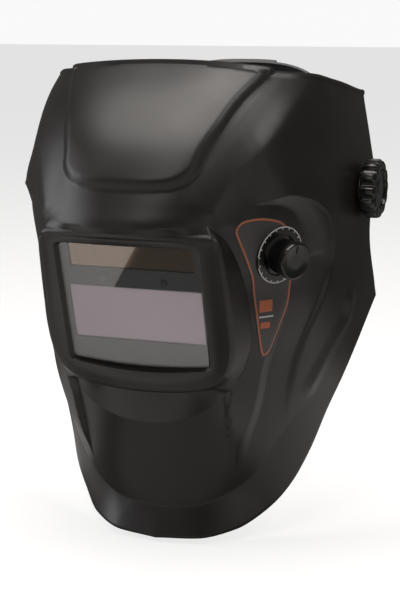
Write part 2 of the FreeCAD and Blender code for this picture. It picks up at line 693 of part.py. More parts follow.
def rear_adjuster():
    level = PINION_R - TOOTH[0] + RACK_H / 2
    inside = block((-36, 36), (111.5, 119), (NAPE_Z - 15.5, NAPE_Z + 15.5))
    case = rounded(2 * MOUTH_X, 38, 8, 108.5, 121)
    case = placed(case, Placement(Z * NAPE_Z, Rotation(X, -90))).cut(inside)
    for side in (-1, 1):
        middle = NAPE_Z + side * level
        mouth = block((0, 50), (111.5, 114.5), (middle - RACK_H / 2 - 0.4, middle + RACK_H / 2 + 0.4))
        case = case.cut(mouth if side > 0 else mouth.mirror(Vector(), X))
    case = case.cut(rod(4.1, Vector(0, 118, NAPE_Z), Vector(0, 125, NAPE_Z)))
    split = block((-60, 60), (100, 116), (-80, 20))
    parts["adjuster_base"] = case.common(split)
    parts["adjuster_cover"] = case.cut(split)
    parts["band_rack_left"] = rack(1, level)
    parts["band_rack_right"] = rack(-1, -level)
    parts["band_tail_left"] = tail(1, level)
    parts["band_tail_right"] = tail(-1, -level)
    parts["ratchet_pinion"] = pinion()
    dial = Part.makeCone(DIAL_R, DIAL_R - 1.5, 11.5, Vector(0, 121.3, NAPE_Z), Y)
    for k in range(16):
        turn = 2 * math.pi * k / 16
        at = Vector((DIAL_R + 1) * math.cos(turn), 121, NAPE_Z + (DIAL_R + 1) * math.sin(turn))
        dial = dial.cut(rod(2.2, at, at + Y * 13))
    parts["ratchet_dial"] = dial.cut(rod(4, Vector(0, 121, NAPE_Z), Vector(0, 124, NAPE_Z)))

    oval = Part.makeCylinder(90, 40, Vector(0, 18.5, NAPE_Z - 20))
    pad = oval.cut(Part.makeCylinder(85, 40, Vector(0, 18.5, NAPE_Z - 20)))
    parts["nape_pad"] = pad.common(block((-40, 40), (50, 108.5), (NAPE_Z - 17, NAPE_Z + 17)))


rear_adjuster()

# ---------------------------------------------------------------- files
os.makedirs("parts", exist_ok=True)
for name, shape in parts.items():
    if not shape.isValid():
        print("not valid:", name)
    shape.exportStep(f"parts/{name}.step")
    box = shape.BoundBox
    print(f"{name:24s} {shape.Volume:10.1f} solids {len(shape.Solids)}"
          f"  x {box.XMin:7.1f} {box.XMax:7.1f}  y {box.YMin:7.1f} {box.YMax:7.1f}"
          f"  z {box.ZMin:7.1f} {box.ZMax:7.1f}")
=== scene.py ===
import json
import math

import bmesh
import bpy
import numpy as np
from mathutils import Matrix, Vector
from mathutils.bvhtree import BVHTree


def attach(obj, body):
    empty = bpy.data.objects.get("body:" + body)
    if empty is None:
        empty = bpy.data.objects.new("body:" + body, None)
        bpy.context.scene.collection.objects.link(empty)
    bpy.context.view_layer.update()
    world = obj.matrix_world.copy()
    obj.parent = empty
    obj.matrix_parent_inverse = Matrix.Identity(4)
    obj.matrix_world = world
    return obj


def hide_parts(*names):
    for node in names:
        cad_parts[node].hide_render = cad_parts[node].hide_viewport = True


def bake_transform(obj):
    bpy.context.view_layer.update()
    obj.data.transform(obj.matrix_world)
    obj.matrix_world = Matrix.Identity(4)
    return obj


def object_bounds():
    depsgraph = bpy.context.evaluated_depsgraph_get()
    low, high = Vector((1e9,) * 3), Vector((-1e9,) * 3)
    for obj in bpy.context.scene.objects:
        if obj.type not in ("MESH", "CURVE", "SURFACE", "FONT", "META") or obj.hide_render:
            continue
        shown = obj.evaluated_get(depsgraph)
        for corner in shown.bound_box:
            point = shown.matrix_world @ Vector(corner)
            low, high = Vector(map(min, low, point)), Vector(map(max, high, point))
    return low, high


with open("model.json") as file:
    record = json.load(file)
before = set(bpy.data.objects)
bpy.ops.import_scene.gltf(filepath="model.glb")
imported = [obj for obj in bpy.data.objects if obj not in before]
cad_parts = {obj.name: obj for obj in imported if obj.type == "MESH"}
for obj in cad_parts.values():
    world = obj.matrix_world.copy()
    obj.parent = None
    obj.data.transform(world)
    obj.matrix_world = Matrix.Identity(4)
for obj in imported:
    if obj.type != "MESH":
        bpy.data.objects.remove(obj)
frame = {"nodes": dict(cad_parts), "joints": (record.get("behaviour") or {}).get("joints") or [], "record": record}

# Auto-darkening welding helmet. Lengths in the shape tables are millimetres, as in the CAD; meshes are
# made in metres. +X is the wearer's left, the face looks along -Y, +Z is up.
CAD_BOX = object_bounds()
MM = 0.001

# ---------------------------------------------------------------- camera, light and floor
scene = bpy.context.scene
scene.view_settings.view_transform = "Standard"
VIEW_YAW, VIEW_PITCH = 21, 10.7
FOCAL_LENGTH = 91.56


def direction(yaw, pitch):
    """The way back from the object to a viewer who stands yaw degrees to its left and looks down by pitch."""
    a, e = math.radians(yaw), math.radians(pitch)
    return Vector((math.sin(a) * math.cos(e), -math.cos(a) * math.cos(e), math.sin(e)))


camera = bpy.data.objects.new("camera", bpy.data.cameras.new("camera"))
scene.collection.objects.link(camera)
camera.location = (0.375, -0.990, 0.116)
camera.rotation_mode = "QUATERNION"
camera.rotation_quaternion = (-direction(VIEW_YAW, VIEW_PITCH)).to_track_quat("-Z", "Y")
camera.data.sensor_width = 36
camera.data.lens = FOCAL_LENGTH
scene.camera = camera

FLOOR_Z = CAD_BOX[0].z - 0.0005


WARM, COOL = (1, 0.955, 0.92), (0.99, 0.98, 1)


def area_light(name, place, target, size, power, colour=WARM):
    lamp = bpy.data.lights.new(name, "AREA")
    lamp.shape = "RECTANGLE"
    lamp.size, lamp.size_y = size
    lamp.energy = power
    lamp.color = colour
    thing = bpy.data.objects.new(name, lamp)
    scene.collection.objects.link(thing)
    thing.location = place
    thing.rotation_mode = "QUATERNION"
    thing.rotation_quaternion = (Vector(target) - Vector(place)).to_track_quat("-Z", "Y")
    thing.visible_camera = False


def floor_card(name, x, y, size, power, above=0.002):
    """A lit white card that lies on the floor and faces up."""
    area_light(name, (x, y, FLOOR_Z + above), (x, y, 1), size, power)


area_light("softbox_top", (-0.10, -0.15, 1.35), (0.0, 0.0, 0.0), (1.1, 1.1), 18.5)
area_light("softbox_left", (-1.5, -0.55, 0.35), (0.0, 0.0, -0.05), (0.9, 1.3), 10.5, COOL)
# Light that a pale studio floor throws up from well in front.
floor_card("floor_bounce", 0.25, -1.45, (3.2, 2.0), 10.5, above=-0.02)
# The white card that the filter's window mirrors, in two parts with a step between them.
floor_card("window_card_a", -0.224, -0.32, (0.192, 0.20), 0.115)
floor_card("window_card_b", -0.054, -0.2725, (0.148, 0.105), 0.046)
# Cards close to the helmet: the lower cheek, the chin and the two sides of the visor mirror them.
floor_card("card_low_right", 0.36, -0.03, (0.50, 0.47), 0.42)
floor_card("card_chin", 0.05, -0.155, (0.26, 0.11), 0.027)
floor_card("card_low_left", -0.26, -0.05, (0.26, 0.26), 0.10)
floor_card("card_left", -0.95, -0.20, (0.5, 0.5), 1.1)
# High on the right for the raised panel's bevel, high in front for the brow below the panel.
area_light("softbox_right", (0.95, -0.15, 1.2), (0.05, -0.08, 0.03), (0.45, 0.45), 3.7)
area_light("card_high_front", (-0.1, -1.2, 1.0), (0.0, -0.1, 0.0), (0.6, 0.4), 1.6)
area_light("card_right", (1.1, -0.56, 0.20), (0.05, -0.10, 0.0), (0.9, 0.7), 0.9)
area_light("card_front", (-0.55, -1.7, 0.25), (0.0, -0.10, 0.0), (0.8, 0.5), 0.35)


def backdrop():
    world = bpy.data.worlds.new("studio")
    scene.world = world
    world.use_nodes = True
    nodes, links = world.node_tree.nodes, world.node_tree.links
    dim = nodes["Background"]
    dim.inputs["Color"].default_value = (1.0, 0.98, 0.96, 1)
    dim.inputs["Strength"].default_value = 0.10
    pale = nodes.new("ShaderNodeBackground")
    pale.inputs["Color"].default_value = (1, 1, 1, 1)
    pale.inputs["Strength"].default_value = 0.95
    path = nodes.new("ShaderNodeLightPath")
    mix = nodes.new("ShaderNodeMixShader")
    links.new(path.outputs["Is Camera Ray"], mix.inputs[0])
    links.new(dim.outputs[0], mix.inputs[1])
    links.new(pale.outputs[0], mix.inputs[2])
    links.new(mix.outputs[0], nodes["World Output"].inputs["Surface"])


backdrop()


# ---------------------------------------------------------------- materials
class Finish:
    """A node material under construction, its pattern laid out in the object's own metres."""

    def __init__(self, name, **sockets):
        self.material = bpy.data.materials.new(name)
        self.material.use_nodes = True
        self.nodes, self.links = self.material.node_tree.nodes, self.material.node_tree.links
        self.shader = self.nodes["Principled BSDF"]
        for socket, value in sockets.items():
            self.shader.inputs[socket.replace("_", " ")].default_value = value
        self.place = self.nodes.new("ShaderNodeTexCoord").outputs["Object"]

    def noise(self, scale, detail, stretch=(1, 1, 1)):
        mapping = self.nodes.new("ShaderNodeMapping")
        mapping.inputs["Scale"].default_value = stretch
        self.links.new(self.place, mapping.inputs["Vector"])
        node = self.nodes.new("ShaderNodeTexNoise")
        node.inputs["Scale"].default_value = scale
        node.inputs["Detail"].default_value = detail
        node.inputs["Roughness"].default_value = 0.55
        self.links.new(mapping.outputs[0], node.inputs["Vector"])
        return node.outputs["Fac"]

    def ramp(self, value, stops):
        node = self.nodes.new("ShaderNodeValToRGB")
        ramp = node.color_ramp
        while len(ramp.elements) < len(stops):
            ramp.elements.new(0.5)
        for element, (at, colour) in zip(ramp.elements, stops):
            element.position = at
            element.color = (*colour, 1)
        self.links.new(value, node.inputs["Fac"])
        return node.outputs["Color"]

    def spread(self, value, low, high):
        node = self.nodes.new("ShaderNodeMapRange")
        node.inputs["From Min"].default_value = 0.3
        node.inputs["From Max"].default_value = 0.7
        node.inputs["To Min"].default_value = low
        node.inputs["To Max"].default_value = high
        self.links.new(value, node.inputs["Value"])
        return node.outputs["Result"]

    def bump(self, height, strength, distance):
        node = self.nodes.new("ShaderNodeBump")
        node.inputs["Strength"].default_value = strength
        node.inputs["Distance"].default_value = distance
        self.links.new(height, node.inputs["Height"])
        self.links.new(node.outputs[0], self.shader.inputs["Normal"])

    def colour(self, socket):
        self.links.new(socket, self.shader.inputs["Base Color"])

    def rough(self, socket):
        self.links.new(socket, self.shader.inputs["Roughness"])


def moulded(name, colour, rough, vary=0.12, grain=(1400, 0.25, 0.00008), **sockets):
    """Moulded plastic: a little cloudy in colour and gloss, with a fine grain."""
    finish = Finish(name, **sockets)
    cloud = finish.noise(22, 4)
    dark = tuple(c * (1 - vary) for c in colour)
    light = tuple(c * (1 + vary) for c in colour)
    finish.colour(finish.ramp(cloud, [(0.3, dark), (0.7, light)]))
    finish.rough(finish.spread(finish.noise(60, 3), rough * 0.93, rough * 1.07))
    scale, strength, distance = grain
    finish.bump(finish.noise(scale, 2), strength, distance)
    return finish.material


def metal(name, colour, rough):
    finish = Finish(name, Metallic=1.0)
    streak = finish.noise(900, 3, stretch=(1, 1, 6))
    finish.colour(finish.ramp(streak, [(0.3, tuple(c * 0.82 for c in colour)), (0.7, colour)]))
    finish.rough(finish.spread(streak, rough * 0.8, rough * 1.25))
    finish.bump(streak, 0.1, 0.00003)
    return finish.material


SHELL = moulded("shell_plastic", (0.0112, 0.0100, 0.0092), 0.36, 0.10)
CARTRIDGE = moulded("cartridge_plastic", (0.012, 0.012, 0.013), 0.5)
KNOB = moulded("knob_plastic", (0.008, 0.008, 0.008), 0.2, grain=(500, 0.08, 0.00005))
FITTING = moulded("fitting_plastic", (0.012, 0.012, 0.012), 0.38)
HEADGEAR = moulded("headgear_plastic", (0.016, 0.016, 0.017), 0.36)
BUTTON = moulded("button_plastic", (0.35, 0.03, 0.02), 0.35)
RING = moulded("scale_ring", (0.010, 0.010, 0.010), 0.28)
FIBRE = moulded("washer_fibre", (0.16, 0.13, 0.10), 0.8, 0.2, (900, 0.6, 0.0002))
SHEATH = moulded("cable_sheath", (0.010, 0.010, 0.010), 0.45)
STEEL = metal("steel", (0.62, 0.62, 0.64), 0.28)
BRASS = metal("brass", (0.75, 0.55, 0.25), 0.25)


def window_glass():
    """The filter's glass stack: a pale mauve film under a polished surface."""
    finish = Finish("filter_glass", Roughness=0.06, Metallic=0.5)
    mauve, pale_mauve = (0.205, 0.158, 0.196), (0.228, 0.180, 0.220)
    finish.colour(finish.ramp(finish.noise(9, 2), [(0.35, mauve), (0.65, pale_mauve)]))
    return finish.material


def solar_film():
    """A brown thin-film cell, scored into narrow strips."""
    finish = Finish("solar_film", Roughness=0.06, Metallic=0.75)
    wave = finish.nodes.new("ShaderNodeTexWave")
    wave.wave_type, wave.bands_direction = "BANDS", "X"
    wave.inputs["Scale"].default_value = 26
    finish.links.new(finish.place, wave.inputs["Vector"])
    stops = [(0.0, (0.130, 0.088, 0.058)), (0.02, (0.150, 0.104, 0.070)), (1.0, (0.156, 0.110, 0.074))]
    finish.colour(finish.ramp(wave.outputs["Fac"], stops))
    finish.rough(finish.spread(finish.noise(40, 2), 0.05, 0.08))
    return finish.material


def circuit_board():
    finish = Finish("board", Roughness=0.45)
    finish.colour(finish.ramp(finish.noise(160, 2), [(0.45, (0.01, 0.07, 0.03)), (0.55, (0.02, 0.13, 0.06))]))
    return finish.material


def clear_plate():
    """A thin clear sheet: it lets nearly all light through and mirrors the rest."""
    finish = Finish("clear_lens", Roughness=0.02, Metallic=1.0, Alpha=0.055)
    finish.colour(finish.ramp(finish.noise(14, 2), [(0.3, (0.94, 0.95, 0.95)), (0.7, (0.98, 0.98, 0.98))]))
    finish.bump(finish.noise(25, 2), 0.01, 0.0001)
    return finish.material


GLASS, SOLAR, BOARD, CLEAR = window_glass(), solar_film(), circuit_board(), clear_plate()
SENSOR = moulded("sensor_lens", (0.006, 0.005, 0.009), 0.08)
FILM = moulded("label_film", (0.050, 0.046, 0.043), 0.42, 0.06, (2600, 0.2, 0.00005))
FABRIC = moulded("sweatband_fabric", (0.018, 0.018, 0.020), 0.9, 0.3, (1500, 0.9, 0.0003))

FINISHES = {
    "shell_plastic": SHELL, "clear_lens": CLEAR, "cartridge_plastic": CARTRIDGE, "filter_glass": GLASS,
    "solar_film": SOLAR, "sensor_lens": SENSOR, "board": BOARD, "steel": STEEL, "brass": BRASS,
    "fitting_plastic": FITTING, "knob_plastic": KNOB, "button_plastic": BUTTON, "scale_ring": RING,
    "cable_sheath": SHEATH, "label_film": FILM, "headgear_plastic": HEADGEAR,
    "sweatband_fabric": FABRIC, "washer_fibre": FIBRE,
}


def finish_nodes():
    """Every CAD node gets its slot's material."""
    for row in frame["record"]["subparts"]:
        node = frame["nodes"][row["node"]]
        node.data.materials.clear()
        node.data.materials.append(FINISHES[row["material_slot"]])


finish_nodes()


def floor():
    mesh = bpy.data.meshes.new("floor")
    reach = 14.0
    corners = [(-reach, -reach), (reach, -reach), (reach, reach), (-reach, reach)]
    mesh.from_pydata([(x, y, FLOOR_Z) for x, y in corners], [], [(0, 1, 2, 3)])
    thing = bpy.data.objects.new("floor", mesh)
    scene.collection.objects.link(thing)
    glow = {"Emission_Color": (1, 1, 1, 1), "Emission_Strength": 0.72}
    mesh.materials.append(moulded("floor_paper", (0.4, 0.4, 0.4), 0.7, 0.01, (300, 0.05, 0.0001), **glow))
    thing.visible_diffuse = thing.visible_glossy = thing.visible_shadow = False


floor()


# ---------------------------------------------------------------- shell surface, as in the CAD
def smooth(places, values):
    """A curve through the values that never overshoots them (monotone cubic)."""
    places, values = np.array(places, float), np.array(values, float)
    steps = np.diff(places)
    rises = np.diff(values) / steps
    slopes = np.empty(len(places))
    slopes[0], slopes[-1] = rises[0], rises[-1]
    near, far = 2 * steps[1:] + steps[:-1], steps[1:] + 2 * steps[:-1]
    same_way = rises[:-1] * rises[1:] > 0
    safe = np.where(same_way, rises[:-1], 1), np.where(same_way, rises[1:], 1)
    slopes[1:-1] = np.where(same_way, (near + far) / (near / safe[0] + far / safe[1]), 0)

    def value(place):
        place = np.clip(place, places[0], places[-1])
        i = np.clip(np.searchsorted(places, place, "right") - 1, 0, len(steps) - 1)
        h = steps[i]
        u = (place - places[i]) / h
        ends = values[i] * (1 + 2 * u) * (1 - u) ** 2 + values[i + 1] * u * u * (3 - 2 * u)
        return ends + h * (slopes[i] * u * (1 - u) ** 2 - slopes[i + 1] * u * u * (1 - u))

    return value


def columns(table):
    rows = list(zip(*table))
    return [smooth(rows[0], row) for row in rows[1:]]


RIM_TOP, RIM_CORNER = 83.0, 62.0
SIDE_Y = 40.0
WALL = 3.0
CREASE = 0.86
front, half_width, roundness = columns([
    (-240, -80, 72, 2.30), (-190, -95, 90, 2.30), (-145, -112, 102.5, 2.28), (-100, -132, 111.5, 2.02),
    (-60, -148, 115, 1.95), (-13, -157, 113.7, 2.16), (0, -152, 113, 2.30), (30, -134, 108, 2.65),
    (60, -105, 101, 3.10), (92, -59, 91, 3.50),
])
crease_angle, crease_z = columns([
    (0.0, 0, -208), (0.15, 14, -206), (0.30, 29, -196), (0.38, 36.5, -187), (0.52, 49, -155),
    (0.64, 58.7, -137), (0.78, 68.3, -114), (0.90, 73, -90), (1.0, 86, -71),
])
brim_xyz = columns([
    (0.0, 0, -97, -226), (0.15, 28.5, -92, -225), (0.27, 51, -78, -220.5), (0.36, 67, -61, -210),
    (0.46, 79, -49, -195), (0.56, 88, -37, -175), (0.68, 96.5, -24, -148), (0.80, 104, -9.5, -125),
    (0.90, 110, 7, -102), (1.0, 114.5, 31, -78),
])


def stack(x, y, z):
    return np.stack(np.broadcast_arrays(x, y, z), -1)


def base_xz(x, z):
    """The point of the unsculpted surface in front of (x, z)."""
    n = roundness(z)
    share = np.clip(np.abs(x) / half_width(z), 0, 1)
    return stack(x, SIDE_Y - (SIDE_Y - front(z)) * (1 - share ** n) ** (1 / n), z)


def shell_point(t, s):
    """t runs from the right rear edge (-1) to the left one (1), s from the rim (0) to the brim (1)."""
    place = np.abs(t)
    rim_z = RIM_TOP - 13 * place ** 1.2 - (RIM_TOP - RIM_CORNER - 13) * place ** 10
    share = np.minimum(s / CREASE, 1.0)
    z = rim_z + (crease_z(place) - rim_z) * share
    angle = 90 * place + (crease_angle(place) - 90 * place) * share
    angle = angle - np.where(share > 0.45, 4.5 * place ** 8 * np.sin(np.pi * (share - 0.45) / 0.55), 0)
    turn = np.radians(np.minimum(angle, 90.0))
    power = 2 / roundness(z)
    x = half_width(z) * np.sin(turn) ** power
    y = SIDE_Y - (SIDE_Y - front(z)) * np.maximum(np.cos(turn), 1e-9) ** power
    here = stack(x, y, z)
    edge = stack(*(curve(place) for curve in brim_xyz))
    flare = np.clip((s - CREASE) / (1 - CREASE), 0, 1)
    point = here + (edge - here) * np.asarray(flare)[..., None]
    return point * stack(np.where(np.asarray(t) < 0, -1, 1), 1, 1)


COLS, ROWS_MAIN, ROWS_BRIM = 344, 212, 20
ROWS = ROWS_MAIN + ROWS_BRIM
COARSE = 4
row_s = np.concatenate([np.linspace(0, CREASE, ROWS_MAIN + 1), np.linspace(CREASE, 1, ROWS_BRIM + 1)[1:]])
FINE_T = np.linspace(0, 1, 801)


def even_columns():
    """For each row, the t of places spread evenly along it from the middle to the edge."""
    points = shell_point(FINE_T[None, :], row_s[:, None])
    runs = np.linalg.norm(np.diff(points, axis=1), axis=2).cumsum(axis=1)
    table = []
    for run in runs:
        share = np.concatenate([[0], run / run[-1]])
        table.append(np.interp(FINE_T, share, FINE_T))
    return np.array(table)


EVEN = even_columns()


def surface(u, row):
    """The unsculpted surface by evenly spread column u (-1 to 1) and row number."""
    u, row = np.broadcast_arrays(np.asarray(u, float), np.asarray(row, float))
    a = np.clip(np.abs(u), 0, 1) * (len(FINE_T) - 1)
    i = np.minimum(a.astype(int), len(FINE_T) - 2)
    r = np.clip(row, 0, ROWS)
    j = np.minimum(r.astype(int), ROWS - 1)
    fa, fr = a - i, r - j
    t = ((EVEN[j, i] * (1 - fa) + EVEN[j, i + 1] * fa) * (1 - fr)
         + (EVEN[j + 1, i] * (1 - fa) + EVEN[j + 1, i + 1] * fa) * fr)
    s = row_s[j] * (1 - fr) + row_s[j + 1] * fr
    return shell_point(np.where(u < 0, -t, t), s)


def locate(points):
    """(u, row) of points on the unsculpted surface with x of 0 or more."""
    us, rows = np.linspace(0, 1, 173), np.arange(0, ROWS + 1, 2.0)
    grid = surface(us[None, :], rows[:, None]).reshape(-1, 3)
    found = []
    for point in points:
        k = np.argmin(((grid - point) ** 2).sum(1))
        u, row = us[k % len(us)], rows[k // len(us)]
        for _ in range(6):
            here = surface(u, row)
            du = (surface(u + 2e-3, row) - surface(u - 2e-3, row)) / 4e-3
            dr = (surface(u, row + 0.2) - surface(u, row - 0.2)) / 0.4
            step = np.linalg.lstsq(np.stack([du, dr], 1), point - here, rcond=None)[0]
            u, row = min(max(u + step[0], 0), 1), min(max(row + step[1], 0), ROWS)
        found.append((u, row))
    return np.array(found)


def spline(points, count, closed=False):
    """Evenly spaced points along a smooth curve (Catmull-Rom) through the given ones."""
    p = np.array(points, float)
    if closed:
        q = np.vstack([p[-1:], p, p[:2]])
    else:
        q = np.vstack([2 * p[:1] - p[1:2], p, 2 * p[-1:] - p[-2:-1]])
    fine = []
    for a, b, c, d in zip(q, q[1:], q[2:], q[3:]):
        for f in np.linspace(0, 1, 16, endpoint=False):
            fine.append(0.5 * ((2 * b) + (c - a) * f + (2 * a - 5 * b + 4 * c - d) * f ** 2
                               + (3 * b - a - 3 * c + d) * f ** 3))
    fine.append(q[-2])
    return even(np.array(fine), count)


def even(line, count):
    """Evenly spaced points along a polyline."""
    runs = np.concatenate([[0], np.linalg.norm(np.diff(line, axis=0), axis=1).cumsum()])
    at = np.linspace(0, runs[-1], count)
    return np.stack([np.interp(at, runs, line[:, k]) for k in range(line.shape[1])], 1)


# ---------------------------------------------------------------- the hole that the visor's surround fills
VISOR = np.array([0, -132.1, -66.4])
TILT = math.radians(15.5)
UP = np.array([0, -math.sin(TILT), math.cos(TILT)])
OUT = np.array([0, -math.cos(TILT), -math.sin(TILT)])


def in_visor(points):
    """From (across, up the visor's face, out of it) to the helmet's frame."""
    p = np.asarray(points, float)
    return VISOR + stack(p[..., 0], 0, 0) + p[..., 1:2] * UP + p[..., 2:3] * OUT


BROW = [(0, -13.0), (18, -12.9), (36, -12.3), (53, -11.0)]
CHEEK = [(53, -11), (61, -20), (65, -32), (67.5, -47), (68.5, -67), (67, -88), (62, -106)]
APRON = [(62, -106), (55, -119), (45, -130), (34, -137), (17, -142.5), (0, -144.5)]
HALF_HOLE = 48


def hole_rows():
    corner_top, corner_low = locate([base_xz(53, -11), base_xz(62, -106)])
    top = int(round(corner_top[1] / COARSE)) * COARSE
    low = int(round(corner_low[1] / COARSE)) * COARSE
    return top, low + 2 * COARSE


HOLE_TOP, HOLE_LOW = hole_rows()
MID = COLS // 2
LEFT, RIGHT = MID - HALF_HOLE, MID + HALF_HOLE


def boundary():
    """The half outline of the hole from the middle of the brow round to the middle of the chin."""
    lines = []
    for table, count in ((BROW, HALF_HOLE), (CHEEK, HOLE_LOW - HOLE_TOP), (APRON, HALF_HOLE)):
        flat = spline(table, 60)
        on_surface = base_xz(flat[:, 0], flat[:, 1])
        lines.append(even(on_surface, count + 1))
    return lines


def warped():
    """Grid places moved so that the hole's sides lie on its outline."""
    u, row = np.meshgrid(np.linspace(-1, 1, COLS + 1), np.arange(ROWS + 1.0))
    brow, cheek, apron = (locate(line) for line in boundary())
    shift_u, shift_row = np.zeros_like(u), np.zeros_like(row)
    middle = slice(MID, RIGHT + 1)
    shift_u[HOLE_TOP, middle] = brow[:, 0] - u[HOLE_TOP, middle]
    shift_row[HOLE_TOP, middle] = brow[:, 1] - HOLE_TOP
    side = slice(HOLE_TOP, HOLE_LOW + 1)
    shift_u[side, RIGHT] = cheek[:, 0] - u[side, RIGHT]
    shift_row[side, RIGHT] = cheek[:, 1] - row[side, RIGHT]
    shift_u[HOLE_LOW, middle] = apron[::-1, 0] - u[HOLE_LOW, middle]
    shift_row[HOLE_LOW, middle] = apron[::-1, 1] - HOLE_LOW
    shift_u[:, :MID] = -shift_u[:, :MID:-1]
    shift_row[:, :MID] = shift_row[:, :MID:-1]

    i, j = np.meshgrid(np.arange(COLS + 1), np.arange(ROWS + 1))
    near_i, near_j = np.clip(i, LEFT, RIGHT), np.clip(j, HOLE_TOP, HOLE_LOW)
    away = np.hypot(i - near_i, j - near_j)
    fade = np.clip(1 - away / 46, 0, 1)
    fade = fade * fade * (3 - 2 * fade)
    return u + shift_u[near_j, near_i] * fade, row + shift_row[near_j, near_i] * fade


GRID_U, GRID_ROW = warped()
base = surface(GRID_U, GRID_ROW)


def normals_at(u, row):
    """Outward unit normals of the unsculpted surface."""
    along = surface(u + 1.5e-3, row) - surface(u - 1.5e-3, row)
    down = surface(u, row + 0.25) - surface(u, row - 0.25)
    normal = np.cross(down, along)
    return normal / np.maximum(np.linalg.norm(normal, axis=-1, keepdims=True), 1e-9)


base_normals = normals_at(GRID_U, GRID_ROW)


# ---------------------------------------------------------------- relief: how far the skin stands off it
def ease(value, low, high):
    f = np.clip((value - low) / (high - low), 0, 1)
    return f * f * (3 - 2 * f)


def on_shell(table, count=70):
    """A smooth line through places near the surface, laid on it."""
    place = locate(spline(table, count))
    return surface(place[:, 0], place[:, 1])


def field(points, normals, line):
    """Distance from a line on the surface, positive to its right as it runs down the front, and the share
    of its length where each point is nearest."""
    runs = np.concatenate([[0], np.linalg.norm(np.diff(line, axis=0), axis=1).cumsum()])
    best = np.full(points.shape[:-1], np.inf)
    signed, share = np.zeros_like(best), np.zeros_like(best)
    for k, (a, b) in enumerate(zip(line, line[1:])):
        edge = b - a
        f = np.clip(((points - a) @ edge) / max(edge @ edge, 1e-9), 0, 1)
        gap = points - a - f[..., None] * edge
        distance = np.linalg.norm(gap, axis=-1)
        side = np.sign((np.cross(edge, gap) * normals).sum(-1))
        nearer = distance < best
        best = np.where(nearer, distance, best)
        signed = np.where(nearer, distance * side, signed)
        share = np.where(nearer, (runs[k] + f * np.linalg.norm(edge)) / runs[-1], share)
    return signed, share


def ridge(distance, height, width, tip):
    """A tent-shaped ridge with a rounded top."""
    run = (np.sqrt(distance ** 2 + tip ** 2) - tip) / width
    return height * np.maximum(1 - run, 0) ** 1.3


PANEL = [(0, 9), (22, 9.4), (33, 11), (40, 14.5), (45, 20), (48, 31), (54, 45), (60, 60), (71, 78), (73, 83)]
SHOULDER = [(53, -139, -10), (56, -134, -1), (60, -128, 9), (67, -119, 20), (78, -97, 38), (84, -75, 54),
            (88, -48, 72), (90, -38, 74)]
OUTER = [(68, -123, -2), (75, -115, 1), (82, -105, 3), (87, -95, 5), (93, -82, 3), (99, -68, -2),
         (103, -52, -14), (104, -44, -30), (103, -44, -44), (99, -51, -62), (92, -63, -87),
         (86, -69, -109), (81, -69, -133), (79, -63, -153)]
INNER = [(73, -118, -1), (81, -106, 0), (90, -91, -5), (93, -81, -16), (93, -75, -32), (91, -73, -52),
         (87, -79, -67), (81, -83, -83), (75, -86, -109), (71, -85, -130), (62, -83, -158), (54, -79, -182)]
TONGUE = [(69, -118, -48), (69, -115, -68), (66, -113, -90), (60, -110, -108), (54, -105, -121),
          (52, -102, -134), (51, -93, -156), (52, -79, -186)]
FIN = [(108, -16, -74), (107, -18, -86), (102, -31, -100), (92, -50, -126)]


PANEL_RISE, PANEL_BEVEL = 4.0, 6.2
RIM_BEAD = 0.7
SHOULDER_RISE, SHOULDER_WIDTH = 2.2, 18
INNER_STEP, INNER_SLOPE = 3.7, 7.5
OUTER_STEP = 3.7
GROOVE_DEPTH = 1.3
FIN_RISE, FIN_WIDTH = 1.6, 9


def relief(points, normals):
    """Height of the sculpted skin over the half of the surface with x of 0 or more."""
    below = np.zeros(points.shape[:-1])
    below[1:] = np.linalg.norm(np.diff(points, axis=0), axis=-1).cumsum(axis=0)
    flat = spline(PANEL, 90)
    panel, _ = field(points, normals, base_xz(flat[:, 0], flat[:, 1]))
    shoulder, up = field(points, normals, on_shell(SHOULDER))
    outer, far = field(points, normals, on_shell(OUTER, 90))
    inner, down = field(points, normals, on_shell(INNER, 90))
    tongue, _ = field(points, normals, on_shell(TONGUE))
    fin, _ = field(points, normals, on_shell(FIN, 30))

    raised = PANEL_RISE * (1 - (1 - np.clip(panel / PANEL_BEVEL, 0, 1)) ** 1.35)
    on_panel = ease(panel, 0, 4)
    height = raised * ease(below, 3.4, 5.2)
    height += (RIM_BEAD + 2.6 * on_panel) * (1 - ease(below, 2.0, 2.9))
    crest = ridge(shoulder, SHOULDER_RISE, SHOULDER_WIDTH, 2.2)
    height += crest * (1 - 0.35 * up) * (1 - on_panel) * ease(up, -0.01, 0.06)

    low = ease(down, 0.40, 0.60) * (1 - 0.8 * ease(down, 0.84, 1.0))
    platform = INNER_STEP * low * np.clip(-inner / INNER_SLOPE, 0, 1) * ease(tongue, -1.2, 1.6)
    height += platform * ease(-points[..., 2], 30, 75)
    between = (inner > 0) & (outer < 0)
    share = np.where(between, inner / np.maximum(inner - outer, 1e-6), (outer >= 0).astype(float))
    share = share * share * (3 - 2 * share)
    beyond = np.exp(-(np.maximum(outer, 0) / 24) ** 2)
    upper = ease(far, 0.02, 0.16) * (1 - ease(far, 0.34, 0.52))
    height += OUTER_STEP * upper * share * beyond
    height += 0.5 * np.exp(-(outer / 1.5) ** 2) * upper
    lower = ease(far, 0.42, 0.60) * (1 - ease(far, 0.84, 0.98))
    past = ease(outer, -2.2, 2.2)
    height += lower * (1.3 * beyond * past - 1.0 * share * (1 - past))
    height -= GROOVE_DEPTH * lower * np.exp(-((outer - 0.8) / 1.9) ** 2)
    height += ridge(fin, FIN_RISE, FIN_WIDTH, 1.2)
    return height


right_half = slice(MID, COLS + 1)
height = np.zeros(base.shape[:2])
height[:, right_half] = relief(base[:, right_half], base_normals[:, right_half])
height[:, :MID] = height[:, :MID:-1]
skin = base + base_normals * height[..., None]
lining = base - base_normals * WALL


